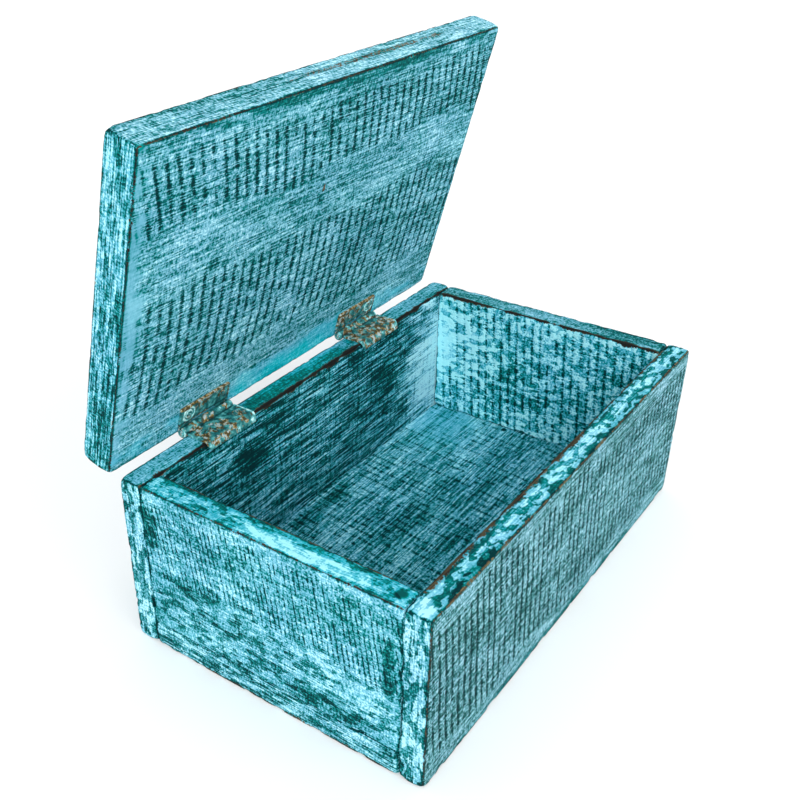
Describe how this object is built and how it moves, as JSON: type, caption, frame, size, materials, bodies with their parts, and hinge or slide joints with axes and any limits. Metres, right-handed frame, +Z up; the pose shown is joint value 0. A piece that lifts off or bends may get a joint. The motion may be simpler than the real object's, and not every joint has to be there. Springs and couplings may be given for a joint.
{
  "type": "wooden chest",
  "caption": "Small rectangular wooden chest with butt-jointed boards and a thick flat lid on butt hinges, standing open.",
  "frame": {"origin": "centre of the chest's flat bottom face", "axes": "+X along the chest's length, -Y towards the front, +Y towards the hinged rear, +Z up"},
  "size_m": [0.2542, 0.1754, 0.2359],
  "materials": {
    "chest_wood": "rough-sawn wood, teal paint with a lighter blue dry-brushed over it and worn through at the edges",
    "lid_wood": "rough-sawn wood, teal paint with a lighter blue dry-brushed over it and worn through at the edges",
    "hinge_iron": "rusted pressed iron with remains of teal and pale blue paint",
    "screw_iron": "rusted screws with paint in the slots",
    "nail_iron": "dull wire nails, painted over"
  },
  "bodies": {
    "chest": {"front_board": "chest_wood", "rear_board": "chest_wood", "left_end_board": "chest_wood", "right_end_board": "chest_wood", "bottom_board": "chest_wood", "left_hinge_chest_leaf": "hinge_iron", "right_hinge_chest_leaf": "hinge_iron", "left_hinge_pin": "hinge_iron", "right_hinge_pin": "hinge_iron", "left_chest_leaf_screws": "screw_iron", "right_chest_leaf_screws": "screw_iron", "front_left_corner_nails": "nail_iron", "front_right_corner_nails": "nail_iron", "front_bottom_nails": "nail_iron", "rear_left_corner_nails": "nail_iron", "rear_right_corner_nails": "nail_iron", "rear_bottom_nails": "nail_iron"},
    "lid": {"lid_board": "lid_wood", "left_hinge_lid_leaf": "hinge_iron", "right_hinge_lid_leaf": "hinge_iron", "left_lid_leaf_screws": "screw_iron", "right_lid_leaf_screws": "screw_iron"}
  },
  "joints": [
    {"name": "lid_hinge", "type": "hinge", "parent": "chest", "child": "lid", "pos_m": [0, 0.0799, 0.0867], "axis": [-1, 0, 0], "range_deg": [-75, 105]}
  ]
}
